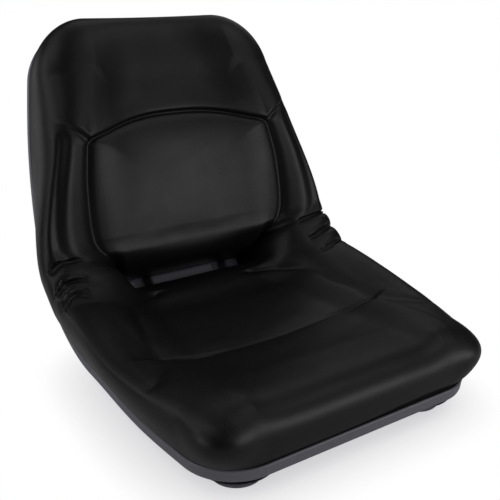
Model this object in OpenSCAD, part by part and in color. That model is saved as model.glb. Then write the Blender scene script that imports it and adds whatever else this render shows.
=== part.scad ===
// High-back bucket seat for a garden machine: one moulded cushion held in a pressed-steel pan.
// X runs across the seat, +Y toward the backrest and +Z up, all in millimetres.
// The origin is in the middle of the four mounting holes, level with the pads that the seat stands on.
//
// Both pieces follow one bent sheet. A place on it is x, across, and s, the length along the side
// line: straight under the seat, round the hip and straight up the back. A height h is measured
// square to the sheet, toward the sitter. The pan's rim lies at h = 0.

/* [Side line] */
// Straight length under the seat, from the front rim to the hip bend
seat_len = 312; // [290:1:335]
// Rise of the seat toward the back, in degrees
seat_pitch = 1; // [0:0.5:3]
// Radius of the hip bend, at the rim
hip_r = 164; // [155:1:185]
// Slope of the back from level, in degrees
back_angle = 76.5; // [72:0.5:82]
// Straight length of the back, from the hip bend to the top rim
back_len = 310; // [280:1:340]

/* [Rim width] */
// Width of the rim at the front
front_w = 410; // [390:1:430]
// Width of the rim halfway along the seat
seat_w = 436; // [415:1:455]
// Width of the rim where the hip bend starts
hip_w = 430; // [410:1:450]
// Width of the rim where the hip bend ends
waist_w = 432; // [410:1:450]
// Width of the rim across the chest
chest_w = 412; // [395:1:430]
// Width of the rim at the top
top_w = 354; // [335:1:375]
// Radius of the front corners
front_r = 64; // [55:1:75]
// Radius of the top corners
top_r = 76; // [65:1:90]

/* [Cushion height] */
// Height of the cushion over the rim at the front
front_h = 58; // [50:1:66]
// Height of the side bolsters halfway along the seat
seat_h = 89; // [80:1:96]
// Height of the side bolsters where the hip bend starts
hip_h = 119; // [108:1:124]
// Height of the side bolsters where the hip bend ends
waist_h = 120; // [108:1:126]
// Height of the side bolsters across the chest
chest_h = 112; // [100:1:120]
// Height of the cushion at the top
top_h = 46; // [40:1:54]
// Width over which the cushion's edge rolls down to the rim
roll_w = 73; // [66:1:80]

/* [Hollow of the seat] */
// Depth of the hollow below the bolsters halfway along the seat
seat_dip = 42; // [34:1:46]
// Depth of the hollow where the hip bend starts
hip_dip = 73; // [64:1:78]
// Depth of the hollow where the hip bend ends
waist_dip = 70; // [60:1:76]
// Depth of the hollow across the chest
chest_dip = 50; // [42:1:56]
// Swell of the lumbar panel
lumbar_h = 20; // [10:1:24]

/* [Creases] */
// Place of the crease behind the thigh roll, from the front rim
thigh_s = 172; // [160:1:184]
// Half width of the seat panel at the ends of that crease
thigh_x = 161; // [154:1:166]
// Depth of the creases
crease_d = 5; // [3:0.5:7]
// Half width of the creases
crease_w = 5; // [4:0.5:7]
// Top of the lumbar panel, below the top rim
arch_down = 143; // [132:1:152]
// Half width of the lumbar panel
panel_x = 147; // [140:1:151]
// Height of the lip over the lumbar panel
lip_h = 9; // [5:1:12]
// Depth of the hip pleats
pleat_d = 8; // [5:0.5:9]
// Length along the side line from one pleat to the next
pleat_step = 64; // [56:1:68]

/* [Slot at the hip] */
// Half width of the slot between seat and back
slot_x = 108; // [98:1:112]
// Opening of the slot along the side line
slot_gap = 30; // [24:1:34]

/* [Pan] */
// Thickness of the pan's sheet
sheet_t = 2; // [1.5:0.1:2.5]
// Thickness of the hem folded along the rim
hem_t = 3.2; // [2.6:0.1:4]
// Height of the band below the rim
band_h = 13; // [10:1:16]
// Depth of the pan's floor below the rim
pan_depth = 25; // [22:1:30]
// Height of the stiffening beads
bead_h = 5; // [3:0.5:7]
// Height of the lands that show through the slot
land_h = 10; // [6:0.5:12]
// Clearance between the cushion and the rim
edge_gap = 0.4; // [0.3:0.1:0.8]
// Clearance between the cushion and the pan's floor
floor_gap = 1.5; // [1.3:0.1:2.5]

/* [Mounting] */
// Distance between the mounting holes, side to side
hole_x = 286; // [270:1:300]
// Distance between the mounting holes, front to back
hole_y = 228; // [215:1:240]
// Setback of the front mounting holes from the front rim
hole_set = 60; // [54:1:70]
// Diameter of the mounting holes
hole_d = 8.6; // [8.2:0.1:10]
// Diameter of the feet at their pads
foot_d = 62; // [50:1:70]
// Flare of the feet, from their pads to the pan's floor
foot_flare = 16; // [10:1:22]
// Height of the feet below the pan's floor
foot_h = 15; // [10:1:20]
// Thread diameter of the weld nuts
nut_bore = 6.8; // [6:0.1:8]
// Width across the flats of the weld nuts
nut_af = 14; // [12:0.5:17]
// Height of the weld nuts
nut_h = 6.5; // [5:0.5:8]

/* [Cushion clips] */
// Distance of the middle clips above the hip bend
clip_up = 30; // [20:1:45]
// Distance of the top clips below the top rim
clip_down = 100; // [90:1:120]
// Diameter of the clips' heads
clip_head_d = 18; // [14:1:20]
// Diameter of the clips' shanks
clip_d = 6; // [5:0.5:7]
// Length of the clips' barbed ends below the pan
clip_len = 12; // [9:1:15]

/* [Hidden] */
vinyl = [0.09, 0.09, 0.1];
paint = [0.25, 0.26, 0.31];
zinc = [0.72, 0.7, 0.6];
nylon = [0.16, 0.16, 0.16];

// The side line
hip_len = hip_r * (back_angle - seat_pitch) * PI / 180;
hip_end = seat_len + hip_len;
line_len = hip_end + back_len;
chest_s = hip_end + 0.45 * back_len;
stations = [0, seat_len / 2, seat_len, hip_end, chest_s, line_len];
rim_y = -hole_y / 2 - hole_set;
rim_z = foot_h + sheet_t + pan_depth;

rim_half = [front_w, seat_w, hip_w, waist_w, chest_w, top_w] / 2;
crest = [front_h, seat_h, hip_h, waist_h, chest_h, top_h];
dips = [0, seat_dip, hip_dip, waist_dip, chest_dip, 11];
bulges = [12, 40, 47, 42, 14, 14];
front_bulge = 42;
top_bulge = 17;

// The slot, the pleats and the lines that the creases follow
slot_s = seat_len + 0.62 * hip_len;
slot_from = slot_s - slot_gap / 2;
slot_to = slot_s + slot_gap / 2;
arch_s = line_len - arch_down;
arch_drop = 28;
side_stations = [0, thigh_s, seat_len - 12, slot_s - 32, slot_s + 56, slot_s + 155, arch_s - arch_drop, line_len];
side_x = [136, thigh_x, thigh_x - 18, slot_x + 10, panel_x - 4, panel_x, panel_x - 6, 112];
thigh_at = [0, 0.25, 0.465, 0.55, 0.625, 0.655, 0.676, 0.71, 0.77, 1];
thigh_shift = [0, 4, 11, 11, 4, -24, -41, -52, -55, -58];
pleat_s = slot_s + 32;
pleat_x = 147;

// Smooth steps and humps
function ease(t) = let (c = min(1, max(0, t))) c * c * (3 - 2 * c);
function mix(a, b, t) = a + (b - a) * t;
function hump(d, w) = exp(-pow(d / w, 2));
function clamp(t, a, b) = min(b, max(a, t));

// A smooth curve through the values v, which stand at the places at
function span(s, at, k = 0) = k < len(at) - 2 && s >= at[k + 1] ? span(s, at, k + 1) : k;
function slope_at(at, v, k) =
    let (a = max(k - 1, 0), b = min(k + 1, len(at) - 1))
    (v[b] - v[a]) / (at[b] - at[a]);
function spline(s, at, v) =
    let (k = span(s, at), d = at[k + 1] - at[k], t = clamp((s - at[k]) / d, 0, 1))
    (2 * pow(t, 3) - 3 * t * t + 1) * v[k] + (pow(t, 3) - 2 * t * t + t) * d * slope_at(at, v, k)
    + (3 * t * t - 2 * pow(t, 3)) * v[k + 1] + (pow(t, 3) - t * t) * d * slope_at(at, v, k + 1);

// Slope of the side line, and a point over the bent sheet
function lean(s) = seat_pitch + clamp(s - seat_len, 0, hip_len) / hip_r * 180 / PI;
function over(x, s, h) =
    let (a = lean(s), flat = min(s, seat_len), up = max(0, s - hip_end))
    [x,
     rim_y + flat * cos(seat_pitch) + hip_r * (sin(a) - sin(seat_pitch)) + up * cos(back_angle) - h * sin(a),
     rim_z + flat * sin(seat_pitch) - hip_r * (cos(a) - cos(seat_pitch)) + up * sin(back_angle) + h * cos(a)];

// Half width of the sheet, and the line between its middle and its sides
function half_w(s) = spline(s, stations, rim_half);
function side_line(s) = spline(s, side_stations, side_x);

// Places across the sheet: u is 0 in the middle, side_u on the side line and 1 at the rim
side_u = 0.68;
function across(u, s, inset) =
    let (a = abs(u), f = side_line(s), w = half_w(s) - inset)
    sign(u) * (a <= side_u ? f * a / side_u : mix(f, w, (a - side_u) / (1 - side_u)));

// Bends a square corner of the sheet round: [x, s]
function corner(x, s, inset) =
    let (front = s < line_len / 2,
         r = (front ? front_r : top_r) - inset,
         w = half_w(s) - inset,
         p = clamp((front ? inset + r - s : s - (line_len - inset - r)) / r, 0, 1),
         q = clamp((abs(x) - (w - r)) / r, 0, 1),
         p2 = p * sqrt(1 - q * q / 2),
         q2 = q * sqrt(1 - p * p / 2),
         s2 = front ? inset + r - p2 * r : line_len - inset - r + p2 * r)
    p > 0 && q > 0 ? [sign(x) * (half_w(s2) - inset - r + q2 * r), s2] : [x, s];

// Distance in from the outline, and the way out: [distance, x way, s way]
function edge(x, s, inset) =
    let (front = s < line_len / 2,
         r = (front ? front_r : top_r) - inset,
         dx = abs(x) - (half_w(s) - inset - r),
         ds = r + inset - min(s, line_len - s),
         q = norm([dx, ds]),
         way = front ? -1 : 1)
    dx > 0 && ds > 0 ? [r - q, sign(x) * dx / q, way * ds / q]
    : dx > ds ? [r - dx, sign(x), 0]
    : [r - ds, 0, way];

// The crease behind the thigh roll and the upper edge of the lumbar panel, across the seat
function thigh_line(a) = thigh_s + spline(a, thigh_at, thigh_shift);
function arch_line(a) =
    a <= side_u ? arch_s - arch_drop * pow(a / side_u, 2.4)
    : arch_s - arch_drop + 40 * (1 - exp((side_u - a) / (1 - side_u) / 0.35));

// Height of the cushion's plain form
function hollow(x, s) =
    let (f = side_line(s), w = half_w(s))
    spline(s, stations, dips) * (1 - ease((abs(x) - f + 45) / (w - f + 27)));
function lumbar(x, s) =
    let (f = side_line(s))
    abs(x) < f ? lumbar_h * hump(s - slot_s - 90, 75) * (1 - pow(x / f, 2)) : 0;

// Creases on the seat and round the panels, as depths. The seat's crease keeps in from the side line
function side_crease(x, s) =
    let (on = ease((s - thigh_s) / 16) * ease((arch_s - 20 - s) / 16), in = 12 * ease((slot_s - 66 - s) / 200))
    on * crease_d * hump(abs(x) - side_line(s) + in, crease_w);
function thigh_crease(a, s) =
    (1 - ease((a - 0.7) / 0.1)) * 0.8 * crease_d * hump(s - thigh_line(a), crease_w);
function arch_lip(a, s) =
    let (d = s - arch_line(a), on = 1 - ease((a - 0.82) / 0.16))
    on * (lip_h * ease((d + 4) / 10) * exp(-max(0, d) / 60) - crease_d * hump(d + 5, crease_w));

// Pleats on the bolsters: p counts them from the lowest, and the folds between them stand a little proud
function pleat(x, s) =
    let (p = (s - pleat_s) / pleat_step + 2,
         on = ease((abs(x) - pleat_x) / 10),
         near = p > -0.5 && p < 2.5 ? hump(p - round(p), 0.13) : 0,
         fold = p > 0 && p < 2 ? 3 * abs(sin(180 * p)) : 0)
    on * (fold - pleat_d * near);

// The cushion's edge rolls into the slot at the hip as it does at the rim
function slot_roll(x, s) =
    let (r = 36,
         dx = max(0, abs(x) - side_line(s) * slot_x / (slot_x + 10)),
         ds = max(0, slot_from - s, s - slot_to),
         t = min(1, norm([dx, ds]) / r))
    sqrt(1 - pow(1 - t, 2));

// A point of the cushion's skin
tuck = hem_t + edge_gap;
hem_rise = 1;
seam_h = hem_rise + 1;
function skin(u, s) =
    let (a = abs(u),
         c = corner(across(u, s, tuck), s, tuck),
         e = edge(c[0], c[1], tuck),
         t = 90 * clamp(e[0] / roll_w, 0, 1),
         b = spline(c[1], stations, bulges) * e[1] * e[1]
             + (c[1] < line_len / 2 ? front_bulge : top_bulge) * e[2] * e[2],
         out = e[0] < roll_w ? e[0] - roll_w * (1 - cos(t)) + b * sin(2 * t) : 0,
         plain = spline(c[1], stations, crest) - hollow(c[0], c[1]) + lumbar(c[0], c[1]),
         marks = arch_lip(a, s) + pleat(c[0], c[1]) - thigh_crease(a, s) - side_crease(c[0], c[1]),
         full = pow(sin(t), 0.8),
         h = seam_h + (plain * full + marks * min(1, 2 * full)) * slot_roll(c[0], c[1]))
    over(c[0] + e[1] * out, c[1] + e[2] * out, h);

// Columns and rows of the cushion's skin, closer where the creases run
slot_u = side_u * slot_x / (slot_x + 10);
line_u = 0.02;
function steps(a, b, n) = [for (k = [1 : n]) mix(a, b, k / n)];
half_cols = concat([0], steps(0, slot_u, 7), steps(slot_u, side_u - line_u, 2), [side_u, side_u + line_u],
                   steps(side_u + line_u, 1, 9));
cols = concat([for (k = [len(half_cols) - 1 : -1 : 1]) -half_cols[k]], half_cols);
row_counts = [13, 1, 1, 26, 3, 20, 1, 1, 13];
row_list = [for (k = [0 : len(row_counts) - 1]) for (n = [1 : row_counts[k]]) [k, n / row_counts[k]]];
function row_edges(a) =
    let (t = thigh_line(a), c = arch_line(a))
    [tuck, t - crease_w - 1, t, t + crease_w + 1, slot_from, slot_to, c - crease_w - 3, c, c + 7, line_len - tuck];
function row_s(j, a) =
    j == 0 ? tuck
    : let (r = row_list[j - 1], k = row_edges(a), t = r[0] == 0 ? pow(r[1], 1.2) : r[1])
      mix(k[r[0]], k[r[0] + 1], t);

// The rim of a grid with nc columns and nr rows, as [column, row]
function loop(nc, nr) =
    concat([for (i = [0 : nc]) [i, 0]], [for (j = [1 : nr]) [nc, j]],
           [for (i = [nc - 1 : -1 : 0]) [i, nr]], [for (j = [nr - 1 : -1 : 1]) [0, j]]);
// Triangles that fill a flat, bulging outline
function fan(p) = [for (k = [1 : len(p) - 2]) [p[0], p[k], p[k + 1]]];
// Triangles between two rings of n points that start at a and b
function band(a, b, n) =
    [for (k = [0 : n - 1]) let (m = (k + 1) % n) each [[a + k, b + k, b + m], [a + k, b + m, a + m]]];

module cushion() {
    nc = len(cols) - 1;
    nr = len(row_list);
    slot_row = row_counts[0] + row_counts[1] + row_counts[2] + row_counts[3];
    slot_rows = row_counts[4];
    slot_col = nc / 2 - 7;
    slot_cols = 14;
    top = [for (i = [0 : nc]) for (j = [0 : nr]) skin(cols[i], row_s(j, abs(cols[i])))];
    rim = loop(nc, nr);
    n = len(rim);
    wall = pan_depth - floor_gap;
    floor_in = pan_in + 3;
    function at(i, j) = i * (nr + 1) + j;
    // Points and rings below the seam, inside the pan
    function low(i, j, inset, drop) =
        let (u = cols[i],
             s = mix(inset, line_len - inset, (row_s(j, abs(u)) - tuck) / (line_len - 2 * tuck)),
             c = corner(across(u, s, inset), s, inset))
        over(c[0], c[1], -drop);
    function ring(inset, drop) = [for (m = rim) low(m[0], m[1], inset, drop)];
    slot_low = [for (side = [0, 1]) for (j = [0 : slot_rows])
        low(slot_col + side * slot_cols, slot_row + j, floor_in, wall)];
    points = concat(top, ring(tuck, band_h - 3), ring(floor_in, wall), slot_low);
    r1 = len(top);
    r2 = r1 + n;
    sl = r2 + n;
    // Index of the lower ring's point at the left and the right end of row j
    function left(j) = r2 + (j == 0 ? 0 : n - j);
    function right(j) = r2 + nc + j;
    function hole(side, j) = sl + side * (slot_rows + 1) + j - slot_row;
    open = [for (i = [0 : nc - 1]) for (j = [0 : nr - 1])
        if (i < slot_col || i >= slot_col + slot_cols || j < slot_row || j >= slot_row + slot_rows)
            each i < nc / 2
                ? [[at(i, j), at(i, j + 1), at(i + 1, j)], [at(i + 1, j), at(i, j + 1), at(i + 1, j + 1)]]
                : [[at(i, j), at(i, j + 1), at(i + 1, j + 1)], [at(i, j), at(i + 1, j + 1), at(i + 1, j)]]];
    seam = [for (k = [0 : n - 1]) let (m = (k + 1) % n, a = at(rim[k][0], rim[k][1]), b = at(rim[m][0], rim[m][1]))
        each [[a, b, r1 + m], [a, r1 + m, r1 + k]]];
    rings = [for (f = band(r1, r2, n)) [f[0], f[2], f[1]]];
    under = [for (j = [0 : nr - 1])
        each j == 0 ? fan(concat([left(1)], [for (i = [0 : nc]) r2 + i], [right(1)]))
            : j == nr - 1 ? fan(concat([right(j)], [for (i = [0 : nc]) r2 + nc + nr + i], [left(j)]))
            : j == slot_row - 1 ? fan([left(j), right(j), right(j + 1), hole(1, j + 1), hole(0, j + 1), left(j + 1)])
            : j == slot_row + slot_rows ? fan([left(j + 1), left(j), hole(0, j), hole(1, j), right(j), right(j + 1)])
            : j < slot_row || j > slot_row + slot_rows ? fan([left(j), right(j), right(j + 1), left(j + 1)])
            : concat(fan([left(j), hole(0, j), hole(0, j + 1), left(j + 1)]),
                     fan([hole(1, j), right(j), right(j + 1), hole(1, j + 1)]))];
    last_row = slot_row + slot_rows;
    last_col = slot_col + slot_cols;
    ends = [for (i = [slot_col : last_col - 1]) each [
        [at(i + 1, slot_row), at(i, slot_row), i < nc / 2 ? hole(0, slot_row) : hole(1, slot_row)],
        [at(i, last_row), at(i + 1, last_row), i < nc / 2 ? hole(0, last_row) : hole(1, last_row)]]];
    middle = [[at(nc / 2, slot_row), hole(0, slot_row), hole(1, slot_row)],
              [at(nc / 2, last_row), hole(1, last_row), hole(0, last_row)]];
    flanks = [for (j = [slot_row : last_row - 1]) each [
        [at(slot_col, j), at(slot_col, j + 1), hole(0, j + 1)], [at(slot_col, j), hole(0, j + 1), hole(0, j)],
        [at(last_col, j + 1), at(last_col, j), hole(1, j)], [at(last_col, j + 1), hole(1, j), hole(1, j + 1)]]];
    color(vinyl) polyhedron(points, concat(open, seam, rings, under, ends, middle, flanks), convexity = 8);
}

// Inset of the pan's floor from the rim, and the pan's columns and rows
pan_in = 22;
bead_cols = [0.25, 0.29, 0.4, 0.44];
land_cols = [0.54, 0.58];
pan_half = concat([0], bead_cols, land_cols, [0.67, 0.76, 0.85, 0.93, 1]);
pan_cols = concat([for (k = [len(pan_half) - 1 : -1 : 1]) -pan_half[k]], pan_half);
seat_bead = [front_r + 36, hole_set + hole_y + 12];
land = [slot_from + 2, slot_to - 2];
back_bead = [slot_to + 40, line_len - top_r - 34];
bead_slope = 9;
land_slope = 6;
pan_parts = [[front_r, 5], [seat_bead[0], 1], [seat_bead[0] + bead_slope, 1], [seat_bead[1] - bead_slope, 4],
             [seat_bead[1], 1], [land[0], 5], [land[0] + land_slope, 1], [land[1] - land_slope, 1], [land[1], 1], [back_bead[0], 2],
             [back_bead[0] + bead_slope, 1], [back_bead[1] - bead_slope, 5], [back_bead[1], 1],
             [line_len - top_r, 1], [line_len, 5]];
pan_rows = concat([0], [for (k = [0 : len(pan_parts) - 1])
    each steps(k == 0 ? 0 : pan_parts[k - 1][0], pan_parts[k][0], pan_parts[k][1])]);

// Beads pressed down out of the pan, and the lands in its middle and beside it that show through the
// slot, as heights over its floor. f is the fraction of the half width
function rise(v, from, to) = clamp((v - from) / (to - from), 0, 1);
function along(s, ends, slope) = min(rise(s, ends[0], ends[0] + slope), rise(s, ends[1], ends[1] - slope));
function bead(f, s) =
    let (b = bead_cols,
         rib = min(rise(f, b[0], b[1]), rise(f, b[3], b[2])),
         ribs = max(along(s, seat_bead, bead_slope), along(s, back_bead, bead_slope)),
         lands = max(rise(f, b[1], b[0]), min(rise(f, b[2], b[3]), rise(f, land_cols[1], land_cols[0]))))
    land_h * along(s, land, land_slope) * lands - bead_h * ribs * rib;

module pan_shell() {
    nc = len(pan_cols) - 1;
    nr = len(pan_rows) - 1;
    rim = loop(nc, nr);
    n = len(rim);
    function spot(i, j, inset) =
        let (s = mix(inset, line_len - inset, pan_rows[j] / line_len), w = half_w(s) - inset)
        corner(pan_cols[i] * w, s, inset);
    function ring(inset, h) = [for (m = rim) let (c = spot(m[0], m[1], inset)) over(c[0], c[1], h)];
    function grid(inset, h) = [for (i = [0 : nc]) for (j = [0 : nr])
        let (c = spot(i, j, inset)) over(c[0], c[1], h + bead(abs(pan_cols[i]), pan_rows[j]))];
    low = grid(pan_in, -pan_depth - sheet_t);
    high = grid(pan_in + 1, -pan_depth);
    points = concat(ring(hem_t, hem_rise), ring(0, hem_rise), ring(0, -band_h), ring(hem_t + 1, -band_h - 2), low,
                    ring(hem_t, -band_h + 1), high);
    a = [0, n, 2 * n, 3 * n];
    lo = 4 * n;
    inner = lo + len(low);
    hi = inner + n;
    function at(i, j) = i * (nr + 1) + j;
    function patch(base, flip) = [for (i = [0 : nc - 1]) for (j = [0 : nr - 1])
        let (p = base + at(i, j), q = base + at(i + 1, j), r = base + at(i + 1, j + 1), t = base + at(i, j + 1),
             left = i < nc / 2)
        each flip ? (left ? [[p, q, t], [q, r, t]] : [[p, q, r], [p, r, t]])
                  : (left ? [[p, t, q], [q, t, r]] : [[p, t, r], [p, r, q]])];
    function skirt(base, grid_base, flip) = [for (k = [0 : n - 1])
        let (m = (k + 1) % n, g = grid_base + at(rim[k][0], rim[k][1]), f = grid_base + at(rim[m][0], rim[m][1]))
        each flip ? [[base + k, g, f], [base + k, f, base + m]] : [[base + k, f, g], [base + k, base + m, f]]];
    faces = concat(
        [for (k = [0 : 2]) for (f = band(a[k], a[k + 1], n)) [f[0], f[2], f[1]]],
        skirt(a[3], lo, false), patch(lo, true),
        [for (f = band(a[0], inner, n)) f], skirt(inner, hi, true), patch(hi, false));
    polyhedron(points, faces, convexity = 8);
}

// Places of the mounting holes
mounts = [for (x = [-1, 1]) for (y = [-1, 1]) [x * hole_x / 2, y * hole_y / 2]];
foot_top = foot_d + foot_flare;
// Height at which a foot meets the pan's floor
function foot_z(y) = over(0, (y - rim_y) / cos(seat_pitch), -pan_depth - sheet_t / 2)[2];

// Places of the clips, as [x, s]
clips = [for (s = [hole_set + hole_y / 2, hip_end + clip_up, line_len - clip_down]) for (side = [-1, 1])
    [side * 0.62 * half_w(s), s]];
module on_floor(place, h) {
    translate(over(place[0], place[1], h)) rotate([lean(place[1]), 0, 0]) children();
}

module seat_pan() {
    color(paint) difference() {
        union() {
            pan_shell();
            for (m = mounts)
                translate([m[0], m[1], 0]) cylinder(h = foot_z(m[1]), d1 = foot_d, d2 = foot_top, $fn = 64);
        }
        for (m = mounts) {
            translate([m[0], m[1], sheet_t])
                cylinder(h = foot_z(m[1]), d1 = foot_d - 2 * sheet_t, d2 = foot_top - 2 * sheet_t, $fn = 64);
            translate([m[0], m[1], -1]) cylinder(h = sheet_t + 2, d = hole_d, $fn = 48);
        }
        for (c = clips) on_floor(c, -pan_depth - 2 * sheet_t) cylinder(h = 4 * sheet_t, d = clip_d + 0.6, $fn = 32);
    }
}

module weld_nuts() {
    color(zinc) for (m = mounts) translate([m[0], m[1], sheet_t]) difference() {
        union() {
            cylinder(h = nut_h, d = nut_af / cos(30), $fn = 6);
            cylinder(h = 1.2, d = nut_af + 7, $fn = 48);
        }
        translate([0, 0, -1]) cylinder(h = nut_h + 2, d = nut_bore, $fn = 48);
    }
}

module cushion_clips() {
    barb = clip_len / 4;
    color(nylon) for (c = clips) on_floor(c, 0.1 - pan_depth) {
        cylinder(h = floor_gap - 0.4, d = clip_head_d, $fn = 48);
        translate([0, 0, -sheet_t - clip_len]) cylinder(h = sheet_t + clip_len + 0.1, d = clip_d - 1.4, $fn = 32);
        for (k = [0 : 3]) translate([0, 0, -sheet_t - 0.6 - barb * (k + 1)])
            cylinder(h = barb, d1 = clip_d - 1.4, d2 = clip_d + 2, $fn = 32);
    }
}

seat_pan();
cushion();
weld_nuts();
cushion_clips();
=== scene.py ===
"""Looks for the high-back bucket seat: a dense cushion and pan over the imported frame, and studio light."""

import math

import bpy
import numpy as np
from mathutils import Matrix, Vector


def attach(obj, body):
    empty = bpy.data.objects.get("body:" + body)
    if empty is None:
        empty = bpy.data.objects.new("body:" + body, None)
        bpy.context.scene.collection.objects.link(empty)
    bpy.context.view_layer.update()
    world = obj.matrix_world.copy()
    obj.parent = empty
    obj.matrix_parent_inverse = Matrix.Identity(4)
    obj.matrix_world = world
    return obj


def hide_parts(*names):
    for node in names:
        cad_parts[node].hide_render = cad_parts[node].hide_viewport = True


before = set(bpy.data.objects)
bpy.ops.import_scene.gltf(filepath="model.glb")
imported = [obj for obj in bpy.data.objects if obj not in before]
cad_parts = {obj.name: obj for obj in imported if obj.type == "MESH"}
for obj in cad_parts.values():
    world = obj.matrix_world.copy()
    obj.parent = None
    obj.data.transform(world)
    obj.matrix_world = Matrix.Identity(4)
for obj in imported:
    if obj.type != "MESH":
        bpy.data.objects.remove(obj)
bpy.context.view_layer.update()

MM = 0.001

# the bent sheet the seat is built on, in millimetres and degrees: a level seat, a hip bend, a straight back
SEAT_LEN = 312.0
PITCH = 1.0
HIP_R = 164.0
BACK_ANGLE = 76.5
BACK_LEN = 310.0
A0 = math.radians(PITCH)
A1 = math.radians(BACK_ANGLE)
HIP_LEN = HIP_R * (A1 - A0)
HIP_END = SEAT_LEN + HIP_LEN
LINE = HIP_END + BACK_LEN
CHEST = HIP_END + 0.45 * BACK_LEN

# at each station along the sheet: the rim's half width, the height of the bolsters, how far the middle
# dips below them, and how far the sides bulge out
STATIONS = np.array([0, SEAT_LEN / 2, SEAT_LEN, HIP_END, CHEST, LINE])
RIM_HALF = np.array([410, 436, 430, 432, 412, 354]) / 2
CREST = np.array([73, 89, 119, 120, 112, 46.0])
DIPS = np.array([0, 42, 73, 70, 50, 11.0])
BULGES = np.array([12, 40, 47, 42, 14, 14.0])

# the rim's round corners, and the width and bulge of the roll behind the rim
FRONT_R, TOP_R = 64.0, 76.0
ROLL_W, FRONT_W = 73.0, 50.0
FRONT_BULGE, TOP_BULGE, CORNER_BULGE = 6.0, 17.0, 20.0
ROLL_FADE_FROM, ROLL_FADE_TO = 58.0, 94.0

# the pan, its feet and its holes
FOOT_H, SHEET_T, PAN_DEPTH = 15.0, 2.0, 25.0
HOLE_X, HOLE_Y, HOLE_SET = 286.0, 228.0, 60.0
RIM_Y = -HOLE_Y / 2 - HOLE_SET
RIM_Z = FOOT_H + SHEET_T + PAN_DEPTH

# the slot at the hip and the arch over the lumbar panel
SLOT_X, SLOT_GAP = 108.0, 30.0
SLOT_S = SEAT_LEN + 0.62 * HIP_LEN
SLOT_FROM = SLOT_S - SLOT_GAP / 2
SLOT_TO = SLOT_S + SLOT_GAP / 2
SLOT_ROUND, SLOT_PAD_ROUND = 34, 76
ARCH_S, ARCH_DROP = LINE - 143, 28.0

# the line where the bolsters' flanks meet the middle, and its share of the half width in the grid
THIGH_S, THIGH_X, PANEL_X = 172.0, 161.0, 147.0
SLOT_SIDE = SLOT_X + 10
SIDE_AT = np.array([0, THIGH_S, SEAT_LEN - 12, SLOT_S - 32, SLOT_S + 56, SLOT_S + 155,
                    ARCH_S - ARCH_DROP, LINE])
SIDE_X = np.array([136, THIGH_X, THIGH_X - 18, SLOT_SIDE, PANEL_X - 6, PANEL_X - 3, PANEL_X - 9, 112])
SIDE_U = 0.68

# how far the skin's edge lies inside the rim, and its height over it
TUCK, SEAM_H = 3.6, 1.5


def ease(t):
    """From 0 to 1 with level ends."""
    t = np.clip(t, 0, 1)
    return t * t * (3 - 2 * t)


def soft(t):
    """From 0 to 1 with level ends that are flatter still."""
    t = np.clip(t, 0, 1)
    return t**3 * (10 - 15 * t + 6 * t * t)


def hump(d, w):
    """A round hump of height 1 and half width w."""
    return np.exp(-((d / w) ** 2))


def spline(s, at, v):
    """A smooth curve through the values v at the places at."""
    s = np.asarray(s, float)
    k = np.clip(np.searchsorted(at, s, side="right") - 1, 0, len(at) - 2)
    lo = np.maximum(np.arange(len(at)) - 1, 0)
    hi = np.minimum(np.arange(len(at)) + 1, len(at) - 1)
    m = (v[hi] - v[lo]) / (at[hi] - at[lo])
    d = at[k + 1] - at[k]
    t = np.clip((s - at[k]) / d, 0, 1)
    return ((2 * t**3 - 3 * t**2 + 1) * v[k] + (t**3 - 2 * t**2 + t) * d * m[k]
            + (3 * t**2 - 2 * t**3) * v[k + 1] + (t**3 - t**2) * d * m[k + 1])


def lean(s):
    """The sheet's slope at s."""
    return A0 + np.clip(s - SEAT_LEN, 0, HIP_LEN) / HIP_R


def over(x, s, h):
    """The point at x across, s along the sheet and h square to it."""
    a = lean(s)
    flat = np.minimum(s, SEAT_LEN)
    up = np.maximum(0, s - HIP_END)
    y = RIM_Y + flat * math.cos(A0) + HIP_R * (np.sin(a) - math.sin(A0)) + up * math.cos(A1) - h * np.sin(a)
    z = RIM_Z + flat * math.sin(A0) - HIP_R * (np.cos(a) - math.cos(A0)) + up * math.sin(A1) + h * np.cos(a)
    return np.stack([x + 0 * y, y, z], -1)


def half_w(s):
    return spline(s, STATIONS, RIM_HALF)


def side_line(s):
    return spline(s, SIDE_AT, SIDE_X)


def across(u, s, inset):
    """Place across for u from -1 to 1, with SIDE_U on the side line."""
    a, f, w = np.abs(u), side_line(s), half_w(s) - inset
    return np.sign(u) * np.where(a <= SIDE_U, f * a / SIDE_U, f + (w - f) * (a - SIDE_U) / (1 - SIDE_U))


def corner(x, s, inset):
    """Moves the grid's square corners onto the rim's round ones."""
    front = s < LINE / 2
    r = np.where(front, FRONT_R, TOP_R) - inset
    w = half_w(s) - inset
    p = np.clip(np.where(front, inset + r - s, s - (LINE - inset - r)) / r, 0, 1)
    q = np.clip((np.abs(x) - (w - r)) / r, 0, 1)
    p2, q2 = p * np.sqrt(1 - q * q / 2), q * np.sqrt(1 - p * p / 2)
    s2 = np.where(front, inset + r - p2 * r, LINE - inset - r + p2 * r)
    on = (p > 0) & (q > 0)
    return np.where(on, np.sign(x) * (half_w(s2) - inset - r + q2 * r), x), np.where(on, s2, s)


def edge(x, s, inset):
    """Distance in from the rim, and the way out to it across and along."""
    front = s < LINE / 2
    r = np.where(front, FRONT_R, TOP_R) - inset
    dx = np.abs(x) - (half_w(s) - inset - r)
    ds = r + inset - np.minimum(s, LINE - s)
    q = np.maximum(np.hypot(dx, ds), 1e-6)
    way = np.where(front, -1.0, 1.0)
    both = (dx > 0) & (ds > 0)
    side = ~both & (dx > ds)
    d = np.where(both, r - q, np.where(side, r - dx, r - ds))
    ex = np.where(both, np.sign(x) * dx / q, np.where(side, np.sign(x), 0.0))
    es = np.where(both, way * ds / q, np.where(side, 0.0, way))
    return d, ex, es


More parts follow.
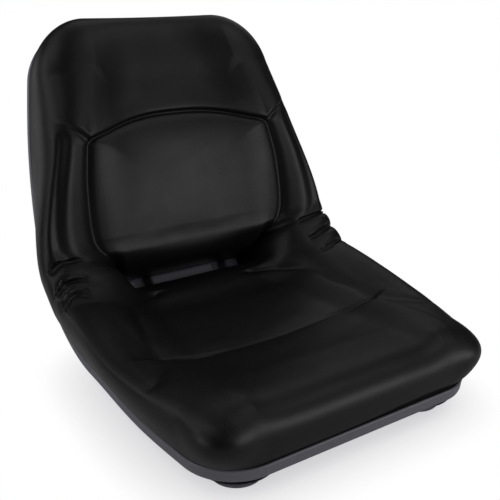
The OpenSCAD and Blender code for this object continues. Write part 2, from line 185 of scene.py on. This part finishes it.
# the lines of the creases: behind the thigh roll, by share of the half width, and beside the seat pad,
# and the width over which the first runs on over the bolster
THIGH_AT = np.array([0, 0.25, 0.465, 0.55, 0.637, 0.665, 0.686, 0.72, 0.77, 1])
THIGH_SHIFT = np.array([0, 4, 11, 11, 4, -24, -41, -52, -55, -58.0])
PAD_AT = np.array([150, 197, 221, 253, 290, 331, 368, 392.0])
PAD_X = np.array([150, 149.5, 148, 143, 139, 129, 108, 80.0])
THIGH_OUT = 166
PANEL_ROUND = 8.0

# the bolsters' flanks: where they start inside the side line, how much further in they start at the
# top, where they end inside the rim, and the power of the back's even bowl between them
FLANK_IN, FLANK_TOP, FLANK_OUT = 45, 65, 18
FLANK_EARLY, FLANK_WIDER = 0.06, 1.12
BOWL = 2.2

# heights and widths of the forms on the skin
PILLOW, PILLOW_W = 9, 22
BELLY, BELLY_UP, BELLY_W = 13, 90, 75
PAD_CREASE, PAD_CREASE_W, PAD_CREASE_WIDE = 3.2, 3.4, 12
THIGH_CREASE, THIGH_CREASE_SIDE, THIGH_CREASE_W = 0.9, 1.8, 4.2
THIGH_TROUGH, THIGH_TROUGH_W = 1.8, 18
GROOVE, GROOVE_W = 3.4, 2.4
GROOVE_SIDE, GROOVE_SIDE_W = 1.4, 8
LIP, LIP_LEN = 5.0, 60
DIAGONAL, DIAGONAL_W = 2.0, 3.4

# the double line beside the panel: distance out from the side line, height and width of each part
FLANK_LINES = ((14.5, 1.3, 4.5), (22, -2.6, 4.2), (29.5, 1.2, 4.5))


def thigh_line(a):
    return THIGH_S + spline(a, THIGH_AT, THIGH_SHIFT)


def thigh_at(v):
    """The thigh roll's crease at v millimetres across."""
    return thigh_line(np.where(v < THIGH_X, v / (THIGH_X / SIDE_U), SIDE_U + (v - THIGH_X) / THIGH_OUT))


def pad_at(v):
    return spline(v, PAD_AT, PAD_X)


def arch_line(a):
    inner = ARCH_S - ARCH_DROP * (np.minimum(a, SIDE_U) / SIDE_U) ** 2.4
    return inner + 40 * (1 - np.exp(-np.clip((a - SIDE_U) / (1 - SIDE_U), 0, 1) / 0.35))


def across_line(v, at, line):
    """Distance from a line that stands at the height line over the places at, square to it."""
    e = 0.01
    return (v - line(at)) / np.sqrt(1 + ((line(at + e) - line(at - e)) / (2 * e)) ** 2)


def panel_depth(x, s, a):
    """Distance in from the lumbar panel's outline, which has round top corners."""
    side, top = side_line(s) - np.abs(x), arch_line(np.minimum(a, SIDE_U)) - s
    r = PANEL_ROUND
    round_ = r - np.hypot(np.maximum(r - side, 0), np.maximum(r - top, 0))
    return np.where((side < r) & (top < r), round_, np.minimum(side, top))


def hollow(x, s):
    """How far the skin dips below the bolsters' crest."""
    a, f = np.abs(x), side_line(s)
    start = FLANK_IN + FLANK_TOP * ease((s - ARCH_S + 60) / 200)
    wide = half_w(s) - f - FLANK_OUT + start

    def rise(r):
        return soft((r - f + start + FLANK_EARLY * wide) / (FLANK_WIDER * wide))

    # on the back the middle is one even curve from side to side
    even = ease((s - SLOT_TO) / 30) * (1 - ease((s - ARCH_S) / 60))
    flank = rise(a)
    bowl = np.where(a < f, rise(f) * (a / f) ** BOWL, flank)
    return spline(s, STATIONS, DIPS) * (1 - flank - even * (bowl - flank))


def pad_crease(x, s):
    """The crease along the seat pad's side."""
    d = across_line(np.abs(x), np.clip(s, PAD_AT[0], PAD_AT[-1]), pad_at)
    on_seat = ease((s - THIGH_S - 2) / 12) * ease((396 - s) / 12)
    return on_seat * (PAD_CREASE * hump(d, PAD_CREASE_W) + PAD_CREASE * hump(d, PAD_CREASE_WIDE))


def thigh_crease(x, s, a):
    """The crease across behind the thigh roll, and on over the bolster."""
    skew = 5 * np.tanh(x / 60) * (1 - ease((np.abs(x) - 100) / 40))
    d = across_line(s - skew, np.abs(x), thigh_at)
    fade = 1 - ease((np.abs(x) - 160) / 22)
    near_side = ease((a - 0.30) / 0.28)
    deep = THIGH_CREASE + THIGH_CREASE_SIDE * near_side
    return fade * (deep * hump(d, THIGH_CREASE_W) + THIGH_TROUGH * hump(d, THIGH_TROUGH_W))


def panel_groove(d, s, a):
    """The groove round the lumbar panel."""
    beside = 1 - ease((a - 0.78) / 0.1)
    return near_top(s) * beside * (GROOVE * hump(d + 0.8, GROOVE_W) + GROOVE_SIDE * hump(d, GROOVE_SIDE_W))


def pad_lip(up, a):
    """The upper pad's lip over the panel."""
    lip = ease((up + 1) / 7) * np.exp(-np.maximum(0, up - 6) / LIP_LEN)
    return LIP * lip * (1 - ease((a - 0.72) / 0.16))


def diagonal(x, up, a):
    """The crease from the panel's top corner out over the bolster."""
    on = ease((a - SIDE_U) / 0.03) * (1 - ease((np.abs(x) - 148) / 9))
    return on * DIAGONAL * hump(up + 2, DIAGONAL_W)


def flank_lines(x, s, a):
    """The double line along the bolster beside the panel."""
    dx = np.abs(x) - side_line(s)
    low_side = near_top(s) * ease((arch_line(a) - 6 - s) / 16)
    return low_side * sum(high * hump(dx - out, wide) for out, high, wide in FLANK_LINES)


def near_top(s):
    return ease((s - (SLOT_TO + 8)) / 30)


def height(x, s, a):
    """The height of the plain form over the sheet, and of the marks on it."""
    f = side_line(s)
    back = ease((s - SLOT_TO - 4) / 20)
    d = panel_depth(x, s, a)
    up = s - arch_line(a)
    plain = spline(s, STATIONS, CREST) - hollow(x, s)
    plain = plain + back * np.where(d > 0, PILLOW * (1 - np.exp(-np.clip(d, 0, None) / PILLOW_W)), 0)
    belly = BELLY * hump(s - SLOT_S - BELLY_UP, BELLY_W) * (1 - (x / f) ** 2)
    plain = plain + np.where(np.abs(x) < f, belly, 0)
    marks = -pad_crease(x, s) - thigh_crease(x, s, a) - panel_groove(d, s, a)
    marks = marks + pad_lip(up, a) - diagonal(x, up, a) + flank_lines(x, s, a)
    return plain, marks + pleats(x, s)


# the three folds on each bolster at the hip, from the upper one down, left and right: points by distance
# from the middle and place along
FOLDS = {
    -1: (((154, 484), (158, 486), (162, 484), (166, 483), (169, 477), (174, 464)),
         ((154, 400), (158, 409), (162, 412), (167, 408), (170, 398), (175, 386)),
         ((155, 336), (160, 355), (164, 362), (168, 356), (172, 345), (176, 332))),
    1: (((147, 459), (155, 467), (163, 474), (179, 482), (190, 480)),
        ((146, 365), (152, 380), (157, 388), (170, 417), (186, 424)),
        ((148, 314), (156, 321), (170, 343), (186, 352))),
}
FOLD_DEPTHS = (5.0, 5.5, 5.0)
FOLD_W = 2.4
SWELL = 3.4


def pleats(x, s):
    """Three double folds on each bolster at the hip, with swells between them."""
    out = 0 * s
    r = np.abs(x)
    e = 0.5
    for side, folds in FOLDS.items():
        lines = [np.array(f, float) for f in folds]
        up, mid, low = [np.interp(r, f[:, 0], f[:, 1]) for f in lines]
        p = np.where(s > mid, 1 + (s - mid) / (up - mid), (s - low) / (mid - low))
        part = np.where((p > 0) & (p < 2), SWELL * np.abs(np.sin(np.pi * p)), 0) * ease((r - 148) / 26)
        for f, line, deep in zip(lines, (up, mid, low), FOLD_DEPTHS):
            slope = (np.interp(r + e, f[:, 0], f[:, 1]) - np.interp(r - e, f[:, 0], f[:, 1])) / (2 * e)
            d = (s - line) / np.sqrt(1 + slope ** 2) ** 0.7
            on = ease((r - f[0, 0]) / 8) * (1 - (side < 0) * ease((r - 171) / 9))
            double = hump(d - 4.6, FOLD_W) + 0.8 * hump(d + 4.2, FOLD_W)
            part = part - on * (deep * double + 2.0 * hump(d, 13))
        out = np.where(np.sign(x) == side, part * ease((r - 146) / 8), out)
    return out


def slot_roll(x, s):
    """From 0 at the slot's edge to 1 away from it, in a round that is longer on the pad's side."""
    dx = np.maximum(0, np.abs(x) - side_line(s) * SLOT_X / SLOT_SIDE)
    ds = np.maximum(0, np.maximum((SLOT_FROM - s) * SLOT_ROUND / SLOT_PAD_ROUND, s - SLOT_TO))
    t = np.minimum(1, np.hypot(dx, ds) / SLOT_ROUND)
    return np.sqrt(1 - (1 - t) ** 2)


def ripple(x, s):
    """The slight unevenness of a soft skin."""
    return (0.35 * np.sin(x / 31 + 0.4 * np.sin(s / 47)) * np.sin(s / 53 + 1.3)
            + 0.22 * np.sin(x / 17 + s / 41 + 2.0) * np.sin(s / 29 - x / 67)
            + 0.12 * np.sin(x / 9.5 - s / 14) * np.sin(s / 11 + x / 23))


def roll_out(d, b, front):
    """How far the skin stands out at the distance d from the rim: a round roll, faded out smoothly inward."""
    def bow(v):
        t = math.pi / 2 * np.maximum(v, 0) / ROLL_W
        side = v - ROLL_W * (1 - np.cos(t)) + b * np.sin(2 * t)
        fore = v - FRONT_W * (1 - np.cos(t)) + FRONT_BULGE * np.sin(math.pi * np.sin(t))
        at_corner = 4 * CORNER_BULGE * front * (1 - front) * np.sin(math.pi * np.sin(t) ** 0.8)
        return side + front * (fore - side) + at_corner

    d0, long = ROLL_FADE_FROM, ROLL_FADE_TO - ROLL_FADE_FROM
    high = bow(d0)
    slope = (bow(d0 + 0.01) - bow(d0 - 0.01)) / 0.02 * long
    t = np.clip((d - d0) / long, 0, 1)
    fade = high * (2 * t**3 - 3 * t**2 + 1) + slope * (t**3 - 2 * t**2 + t)
    return np.where(d < d0, bow(np.minimum(d, d0)), fade)


# at the hem: how far the skin stands out, how soon, and over what length that fades
HEM_OUT, HEM_TURN, HEM_FADE = 2.8, 1.4, 25
HEM_FLAT, HEM_FLAT_W = 0.72, 4.5
# the roll's steepness round the seat, and how much steeper the front roll is
ROLL_STEEP, FRONT_STEEP = 0.8, 0.12
# the skin's lift off the hem at the front right: height, middle, width, and its fades along and inward
LIFT, LIFT_X, LIFT_W, LIFT_LEN, LIFT_IN = 6.0, 105, 75, 25, 12
# the panel's foot over the slot: how far it hangs, where and over what width
HANG, HANG_AT, HANG_W, HANG_SIDE = 19.5, 12, 17, 20


def skin(u, s):
    """The cushion's upper skin, for u from -1 to 1 across and s along."""
    a = np.abs(u)
    x, s1 = corner(across(u, s, TUCK), s, TUCK)
    d, ex, es = edge(x, s1, TUCK)
    t = math.pi / 2 * np.clip(d / ROLL_W, 0, 1)
    fore = s1 < LINE / 2
    b = spline(s1, STATIONS, BULGES) * ex**2 + np.where(fore, 0, TOP_BULGE) * es**2
    out = roll_out(d, b, es**2 * fore)
    # the skin lies on the hem before it turns up
    near = np.clip(d, 0, None)
    out = out + HEM_OUT * (1 - np.exp(-near / HEM_TURN)) * np.exp(-near / HEM_FADE)
    plain, marks = height(x, s1, a)
    steep = ROLL_STEEP - FRONT_STEEP * es**2 * fore
    full = np.sin(t) ** steep * (1 - HEM_FLAT * np.exp(-near / HEM_FLAT_W))
    lift = LIFT * hump(x - LIFT_X, LIFT_W) * np.exp(-s1 / LIFT_LEN) * np.exp(-near / LIFT_IN)
    form = plain * full + marks * np.minimum(1, 2 * full) + ripple(x, s1) * full
    h = SEAM_H + lift + form * slot_roll(x, s1)
    hang = HANG * hump(s1 - SLOT_TO - HANG_AT, HANG_W) * ease((side_line(s1) - np.abs(x)) / HANG_SIDE)
    return over(x + ex * out, s1 + es * out - hang * (s1 >= SLOT_TO), h)


def steps(a, b, n, power=1.0):
    """The n places from a, left out, to b."""
    return [a + (b - a) * (k / n) ** power for k in range(1, n + 1)]


def runs(start, *parts):
    """Places from start on, through runs that each say their end and how many steps lead to it."""
    places = [start]
    for part in parts:
        places += steps(start, *part)
        start = part[0]
    return places


def mirrored(half):
    return [-v for v in half[:0:-1]] + half


def mesh_object(name, points, faces, mat):
    me = bpy.data.meshes.new(name)
    me.from_pydata([tuple(p * MM) for p in points], [], faces)
    me.validate()
    me.polygons.foreach_set("use_smooth", [True] * len(me.polygons))
    me.materials.append(mat)
    me.update()
    ob = bpy.data.objects.new(name, me)
    bpy.context.scene.collection.objects.link(ob)
    return ob


def rim_loop(nc, nr):
    """The grid's border, once round, as column and row."""
    return ([(i, 0) for i in range(nc + 1)] + [(nc, j) for j in range(1, nr + 1)]
            + [(i, nr) for i in range(nc - 1, -1, -1)] + [(0, j) for j in range(nr - 1, 0, -1)])


def bridge(a, b, n):
    """Faces between two rings of n points that start at a and b."""
    return [(a + k, b + k, b + (k + 1) % n, a + (k + 1) % n) for k in range(n)]


# materials
def new_material(name):
    m = bpy.data.materials.new(name)
    m.use_nodes = True
    t = m.node_tree
    return m, t, t.nodes["Principled BSDF"]


def node(t, kind, **values):
    n = t.nodes.new(kind)
    for k, v in values.items():
        if k in n.inputs:
            n.inputs[k].default_value = v
        else:
            setattr(n, k, v)
    return n


def in_place(t, kind, **values):
    """A procedural texture laid by the place on the object."""
    n = node(t, kind, **values)
    geo = node(t, "ShaderNodeNewGeometry")
    t.links.new(geo.outputs["Position"], n.inputs["Vector"])
    return n


def bump(t, high, strength, distance):
    n = node(t, "ShaderNodeBump", Strength=strength, Distance=distance)
    t.links.new(high, n.inputs["Height"])
    return n


def vinyl():
    """Black vinyl with a pebbled grain and slightly uneven gloss."""
    m, t, b = new_material("vinyl")
    b.inputs["Base Color"].default_value = (0.0052, 0.0052, 0.0058, 1)
    b.inputs["Specular IOR Level"].default_value = 0.26
    grain = in_place(t, "ShaderNodeTexVoronoi", Scale=900.0, Randomness=1.0)
    grain.feature = "F1"
    fine = in_place(t, "ShaderNodeTexNoise", Scale=420.0, Detail=3.0)
    broad = in_place(t, "ShaderNodeTexNoise", Scale=22.0, Detail=3.0)
    pebbles = bump(t, grain.outputs["Distance"], 0.16, 0.0006)
    uneven = bump(t, fine.outputs["Fac"], 0.12, 0.0012)
    t.links.new(pebbles.outputs["Normal"], uneven.inputs["Normal"])
    t.links.new(uneven.outputs["Normal"], b.inputs["Normal"])
    rough = node(t, "ShaderNodeMapRange")
    rough.inputs["To Min"].default_value = 0.34
    rough.inputs["To Max"].default_value = 0.46
    t.links.new(broad.outputs["Fac"], rough.inputs["Value"])
    t.links.new(rough.outputs["Result"], b.inputs["Roughness"])
    return m


def paint():
    """Satin grey paint with a slight orange peel."""
    m, t, b = new_material("pan paint")
    b.inputs["Base Color"].default_value = (0.13, 0.13, 0.155, 1)
    b.inputs["Roughness"].default_value = 0.42
    b.inputs["Specular IOR Level"].default_value = 0.5
    peel = in_place(t, "ShaderNodeTexNoise", Scale=260.0, Detail=2.0)
    t.links.new(bump(t, peel.outputs["Fac"], 0.06, 0.001).outputs["Normal"], b.inputs["Normal"])
    return m


def zinc():
    """Yellowish zinc plating."""
    m, t, b = new_material("zinc")
    b.inputs["Metallic"].default_value = 1.0
    b.inputs["Roughness"].default_value = 0.36
    cloud = in_place(t, "ShaderNodeTexNoise", Scale=180.0, Detail=4.0)
    ramp = node(t, "ShaderNodeValToRGB")
    ramp.color_ramp.elements[0].color = (0.45, 0.42, 0.33, 1)
    ramp.color_ramp.elements[1].color = (0.66, 0.63, 0.5, 1)
    t.links.new(cloud.outputs["Fac"], ramp.inputs["Fac"])
    t.links.new(ramp.outputs["Color"], b.inputs["Base Color"])
    return m


def nylon():
    """Black moulded nylon."""
    m, t, b = new_material("nylon")
    b.inputs["Base Color"].default_value = (0.02, 0.02, 0.02, 1)
    b.inputs["Roughness"].default_value = 0.5
    fine = in_place(t, "ShaderNodeTexNoise", Scale=300.0, Detail=2.0)
    t.links.new(bump(t, fine.outputs["Fac"], 0.08, 0.0008).outputs["Normal"], b.inputs["Normal"])
    return m


VINYL, PAINT, ZINC, NYLON = vinyl(), paint(), zinc(), nylon()

# the cushion's underside: how far in and down its flat part lies, and the grid columns over the slot
UNDER_IN, UNDER_DROP = 25, 23.5
SLOT_COLS = 38


def build_cushion():
    slot_u = SIDE_U * SLOT_X / SLOT_SIDE
    half = runs(0.0, (slot_u, SLOT_COLS), (SIDE_U, 9), (1, 63))
    cols = mirrored(half)
    slot_col, slot_last = len(half) - 1 - SLOT_COLS, len(half) - 1 + SLOT_COLS
    rows = runs(TUCK, (60, 46, 1.15), (150, 34), (200, 34), (300, 34), (SLOT_FROM, 66), (SLOT_TO, 8),
                (520, 36), (640, 46), (720, 48), (770, 20))
    slot_row = 46 + 3 * 34 + 66
    slot_end = slot_row + 8
    rows += [LINE - TUCK - v for v in steps(0, LINE - TUCK - 770, 44, 1.15)[::-1][1:]] + [LINE - TUCK]
    nc, nr = len(cols) - 1, len(rows) - 1
    u, s = np.meshgrid(cols, rows, indexing="ij")
    top = skin(u, s).reshape(-1, 3)

    def at(i, j):
        return i * (nr + 1) + j

    faces = [(at(i, j), at(i + 1, j), at(i + 1, j + 1), at(i, j + 1)) for i in range(nc) for j in range(nr)
             if not (slot_col <= i < slot_last and slot_row <= j < slot_end)]
    loop = rim_loop(nc, nr)
    n = len(loop)

    def tucked(c, r, inset, drop):
        """Points of the grid pulled in to the inset, below the sheet."""
        ss = inset + (LINE - 2 * inset) * (r - TUCK) / (LINE - 2 * TUCK)
        x, s2 = corner(across(c, ss, inset), ss, inset)
        return over(x, s2, -drop).reshape(-1, 3)

    loop_c, loop_r = np.array([cols[i] for i, _ in loop]), np.array([rows[j] for _, j in loop])
    base = len(top)
    pts = [top] + [tucked(loop_c, loop_r, *ring) for ring in ((TUCK, 4), (TUCK, 10), (UNDER_IN, UNDER_DROP))]
    first = [at(i, j) for i, j in loop]
    for k in range(n):
        m = (k + 1) % n
        faces.append((first[k], base + k, base + m, first[m]))
    faces += bridge(base, base + n, n) + bridge(base + n, base + 2 * n, n)

    # the underside, closed by strips across that leave the slot open
    low = base + 2 * n
    size = base + 3 * n
    slot_rows = slot_end - slot_row + 1
    slot_c = np.array([[cols[slot_col]] * slot_rows, [cols[slot_last]] * slot_rows])
    slot_r = np.array([rows[slot_row:slot_end + 1]] * 2)
    pts.append(tucked(slot_c, slot_r, UNDER_IN, UNDER_DROP))

    def left(j):
        return low + (0 if j == 0 else n - j)

    def right(j):
        return low + nc + j

    def hole(side, j):
        return size + side * slot_rows + j - slot_row

    for j in range(nr):
        if j == 0:
            faces.append(tuple([low + i for i in range(nc + 1)] + [right(1), left(1)])[::-1])
        elif j == nr - 1:
            faces.append(tuple([left(j), right(j)] + [low + nc + nr + i for i in range(nc + 1)])[::-1])
        elif slot_row <= j < slot_end:
            faces.append((left(j), left(j + 1), hole(0, j + 1), hole(0, j)))
            faces.append((hole(1, j), hole(1, j + 1), right(j + 1), right(j)))
        elif j == slot_row - 1:
            faces.append((left(j), left(j + 1), hole(0, j + 1), hole(1, j + 1), right(j + 1), right(j)))
        elif j == slot_end:
            faces.append((left(j), left(j + 1), right(j + 1), right(j), hole(1, j), hole(0, j)))
        else:
            faces.append((left(j), left(j + 1), right(j + 1), right(j)))

    # the slot's walls
    faces.append(tuple([at(i, slot_row) for i in range(slot_last, slot_col - 1, -1)]
                       + [hole(0, slot_row), hole(1, slot_row)])[::-1])
    faces.append(tuple([at(i, slot_end) for i in range(slot_col, slot_last + 1)]
                       + [hole(1, slot_end), hole(0, slot_end)])[::-1])
    for j in range(slot_row, slot_end):
        faces.append((at(slot_col, j), hole(0, j), hole(0, j + 1), at(slot_col, j + 1)))
        faces.append((at(slot_last, j + 1), hole(1, j + 1), hole(1, j), at(slot_last, j)))
    return mesh_object("cushion_skin", np.concatenate(pts), faces, VINYL)


cushion = build_cushion()
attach(cushion, "root")
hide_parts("cushion")

# the pan's beads and lands: their slopes by share of the half width, and their ends along the sheet
RIB_IN, RIB_OUT = (0.25, 0.29), (0.44, 0.40)
LAND_MID, LAND_GAP, LAND_OUT = (0.31, 0.28), (0.41, 0.44), (0.58, 0.54)
SEAT_BEAD = (100.0, HOLE_SET + HOLE_Y + 12)
BACK_BEAD = (SLOT_TO + 40, LINE - 110)
LAND = (SLOT_FROM + 1, SLOT_TO - 4)
BEAD_H, BEAD_SLOPE, LAND_H, LAND_SLOPE = 5, 9, 18, 5
# the pan's floor, and the drawn thickness of its sheet in metres
FLOOR_IN, FLOOR_DROP, DRAWN_T = 26, 27, 0.0014
# the pan's section from inside its hem, round it and down to the floor: distance in and height
HEM = ((3.9, -6), (3.9, 0.2), (3.5, 0.9), (2.6, 1.3), (1.5, 1.3), (0.6, 0.9), (0.1, 0.0), (0.0, -1.0),
       (0.3, -2.2), (0.9, -3.0), (1.0, -4.5), (1.1, -8.5), (1.5, -11.6), (2.4, -13.8), (4.2, -15.6),
       (7, -17.4), (13, -21.2), (17.5, -24.0), (20.5, -25.7), (23, -26.6))


def climb(v, a, b):
    """From 0 at a to 1 at b."""
    return ease((v - a) / (b - a))


def bead(f, s):
    """Height of the beads and lands over the pan's floor."""
    def along(ends, slope):
        return climb(s, ends[0], ends[0] + slope) * climb(s, ends[1], ends[1] - slope)

    rib = climb(f, *RIB_IN) * climb(f, *RIB_OUT)
    lands = np.maximum(climb(f, *LAND_MID), climb(f, *LAND_GAP) * climb(f, *LAND_OUT))
    beads = np.maximum(along(SEAT_BEAD, BEAD_SLOPE), along(BACK_BEAD, BEAD_SLOPE))
    return LAND_H * along(LAND, LAND_SLOPE) * lands - BEAD_H * beads * rib


def build_pan():
    # finer where the beads and lands rise
    cols = mirrored(runs(0.0, (0.24, 4), (0.32, 10), (0.36, 2), (0.45, 11), (0.53, 3), (0.59, 6), (1, 22)))
    rows = runs(0.0, (64, 16), (98, 3), (112, 6), (286, 14), (302, 6), (SLOT_FROM, 20), (SLOT_FROM + 10, 6),
                (SLOT_TO - 10, 3), (SLOT_TO, 6), (BACK_BEAD[0] - 2, 6), (BACK_BEAD[0] + 12, 6),
                (BACK_BEAD[1] - 12, 16), (BACK_BEAD[1] + 2, 6), (LINE - TOP_R, 5), (LINE, 18))
    nc, nr = len(cols) - 1, len(rows) - 1
    loop = rim_loop(nc, nr)
    n = len(loop)

    def spot(c, r, inset):
        s = inset + (LINE - 2 * inset) * r / LINE
        return corner(c * (half_w(s) - inset), s, inset)

    loop_c, loop_r = np.array([cols[i] for i, _ in loop]), np.array([rows[j] for _, j in loop])
    pts = [over(*spot(loop_c, loop_r, inset), h) for inset, h in HEM]
    c, r = np.meshgrid(cols, rows, indexing="ij")
    pts.append(over(*spot(c, r, FLOOR_IN), -FLOOR_DROP + bead(np.abs(c), r)).reshape(-1, 3))
    base = len(HEM) * n

    def at(i, j):
        return base + i * (nr + 1) + j

    faces = []
    for k in range(len(HEM) - 1):
        faces += bridge(k * n, (k + 1) * n, n)
    last = (len(HEM) - 1) * n
    for k in range(n):
        m = (k + 1) % n
        faces.append((last + k, at(*loop[k]), at(*loop[m]), last + m))
    faces += [(at(i, j), at(i, j + 1), at(i + 1, j + 1), at(i + 1, j)) for i in range(nc) for j in range(nr)]
    ob = mesh_object("pan_shell", np.concatenate(pts), faces, PAINT)
    solid = ob.modifiers.new("sheet", "SOLIDIFY")
    solid.thickness = DRAWN_T
    solid.offset = -1
    return ob


HOLE_R = 4.3
FOOT_SIDES = 96


def build_feet():
    pts, faces = [], []
    ang = np.arange(FOOT_SIDES) * 2 * math.pi / FOOT_SIDES
    for fx in (-1, 1):
        for fy in (-1, 1):
            x, y = fx * HOLE_X / 2, fy * HOLE_Y / 2
            top = over(np.array(0.0), np.array((y - RIM_Y) / math.cos(A0)), -PAN_DEPTH - SHEET_T / 2)[2]
            # radius and height, from the pan's floor down the outside and back up the inside
            profile = [(47, top - 0.4), (44, top - 1.2), (41.5, top - 2.2), (39.8, top - 3.8),
                       (38.6, top - 6), (35.4, top * 0.42), (33.2, 4.2), (32.4, 2.2), (31.2, 0.7),
                       (29.6, 0.0), (18, 0), (HOLE_R, 0), (HOLE_R, SHEET_T), (28, SHEET_T), (30, 3.2),
                       (36.4, top)]
            base = len(pts) * FOOT_SIDES
            for r, z in profile:
                pts.append(np.stack([x + r * np.cos(ang), y + r * np.sin(ang), 0 * ang + z], -1))
            for k in range(len(profile) - 1):
                ring = base + k * FOOT_SIDES
                faces += [f[::-1] for f in bridge(ring, ring + FOOT_SIDES, FOOT_SIDES)]
    return mesh_object("pan_feet", np.concatenate(pts), faces, PAINT)


pan = build_pan()
feet = build_feet()
for ob in (pan, feet):
    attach(ob, "root")
    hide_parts("seat_pan")
for name, mat in (("weld_nuts", ZINC), ("cushion_clips", NYLON)):
    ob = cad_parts[name]
    ob.data.materials.clear()
    ob.data.materials.append(mat)


# floor and surround
def seen_as(t, surface, colour):
    """Gives camera and transmission rays the plain colour and leaves all other rays the surface."""
    path = t.nodes.new("ShaderNodeLightPath")
    plain = t.nodes.new("ShaderNodeEmission")
    t.links.new(colour, plain.inputs["Color"])
    seen = node(t, "ShaderNodeMath", operation="MAXIMUM")
    t.links.new(path.outputs["Is Camera Ray"], seen.inputs[0])
    t.links.new(path.outputs["Is Transmission Ray"], seen.inputs[1])
    mixer = t.nodes.new("ShaderNodeMixShader")
    t.links.new(seen.outputs["Value"], mixer.inputs["Fac"])
    t.links.new(surface, mixer.inputs[1])
    t.links.new(plain.outputs["Emission"], mixer.inputs[2])
    return mixer.outputs["Shader"]


FLOOR_HALF = 12
SHADOW_REACH = 0.09


def floor_material():
    """A pale floor, white to the camera but for a contact shadow near the seat."""
    m, t, b = new_material("floor")
    b.inputs["Base Color"].default_value = (0.86, 0.86, 0.86, 1)
    b.inputs["Roughness"].default_value = 0.9
    near_by = node(t, "ShaderNodeAmbientOcclusion", Distance=SHADOW_REACH)
    shade = node(t, "ShaderNodeValToRGB")
    dark, light = shade.color_ramp.elements
    dark.position, light.position = 0.1, 0.85
    dark.color, light.color = (0.6, 0.6, 0.62, 1), (1, 1, 1, 1)
    t.links.new(near_by.outputs["AO"], shade.inputs["Fac"])
    end = seen_as(t, b.outputs["BSDF"], shade.outputs["Color"])
    t.links.new(end, t.nodes["Material Output"].inputs["Surface"])
    return m


me = bpy.data.meshes.new("floor")
square = ((-1, -1), (1, -1), (1, 1), (-1, 1))
me.from_pydata([(FLOOR_HALF * i, FLOOR_HALF * j, 0) for i, j in square], [], [(0, 1, 2, 3)])
me.materials.append(floor_material())
floor = bpy.data.objects.new("floor", me)
bpy.context.scene.collection.objects.link(floor)

WORLD_DIM = 0.03
world = bpy.data.worlds.new("world")
bpy.context.scene.world = world
world.use_nodes = True
wt = world.node_tree
dim = wt.nodes["Background"]
dim.inputs["Color"].default_value = (1, 1, 1, 1)
dim.inputs["Strength"].default_value = WORLD_DIM
white = wt.nodes.new("ShaderNodeRGB")
white.outputs[0].default_value = (1, 1, 1, 1)
surround = seen_as(wt, dim.outputs["Background"], white.outputs[0])
wt.links.new(surround, wt.nodes["World Output"].inputs["Surface"])

# soft lamps, in metres: where they aim, their distance, size and least height
AIM = Vector((0, 0.1, 0.25))
LAMP_FAR, LAMP_SIZE, LAMP_LOW = 2.4, 1.1, 0.58
# each lamp's way from the seat, round from the back and up, in degrees, and its watts
LAMPS = {
    "back_high": (30, 60, 2.5),
    "back_right": (50, 32, 2),
    "back_left_high": (320, 58, 2),
    "back_left_low": (330, 8, 3),
    "right_high": (110, 58, 5),
    "front_right": (130, 32, 2),
    "front_right_low": (150, 8, 14.5),
    "front": (160, 32, 3),
    "left_low": (265, 8, 8),
    "left_high": (270, 60, 5),
    "left": (290, 32, 6.5),
}


def heading(turn, rise):
    """The unit vector round from +Y toward +X by turn and up by rise, in degrees."""
    turn, rise = math.radians(turn), math.radians(rise)
    return Vector((math.sin(turn) * math.cos(rise), math.cos(turn) * math.cos(rise), math.sin(rise)))


for name, (turn, rise, watts) in LAMPS.items():
    lamp = bpy.data.objects.new(name, bpy.data.lights.new(name, "AREA"))
    lamp.data.shape = "SQUARE"
    lamp.data.size = LAMP_SIZE
    lamp.data.energy = watts
    lamp.location = AIM + heading(turn, rise) * LAMP_FAR
    lamp.location.z = max(lamp.location.z, LAMP_LOW)
    lamp.rotation_mode = "QUATERNION"
    lamp.rotation_quaternion = (AIM - lamp.location).to_track_quat("-Z", "Y")
    lamp.visible_camera = False
    bpy.context.scene.collection.objects.link(lamp)

# the camera: its place from the rim's front middle in millimetres, its heading in degrees, its lens in pixels
CAM_X, CAM_Y, CAM_Z = -550.6, -570.0, 494.2
CAM_TURN, CAM_DROP = 34.1, 19.4
LENS_PX, PICTURE_PX, SENSOR = 766, 500, 36
cam_data = bpy.data.cameras.new("camera")
cam = bpy.data.objects.new("camera", cam_data)
bpy.context.scene.collection.objects.link(cam)
bpy.context.scene.camera = cam
cam_data.sensor_width = SENSOR
cam_data.lens = LENS_PX / PICTURE_PX * SENSOR
cam.location = Vector((CAM_X, CAM_Y + RIM_Y, CAM_Z + RIM_Z)) * MM
cam.rotation_mode = "QUATERNION"
cam.rotation_quaternion = heading(CAM_TURN, -CAM_DROP).to_track_quat("-Z", "Y")
bpy.context.scene.view_settings.view_transform = "Standard"
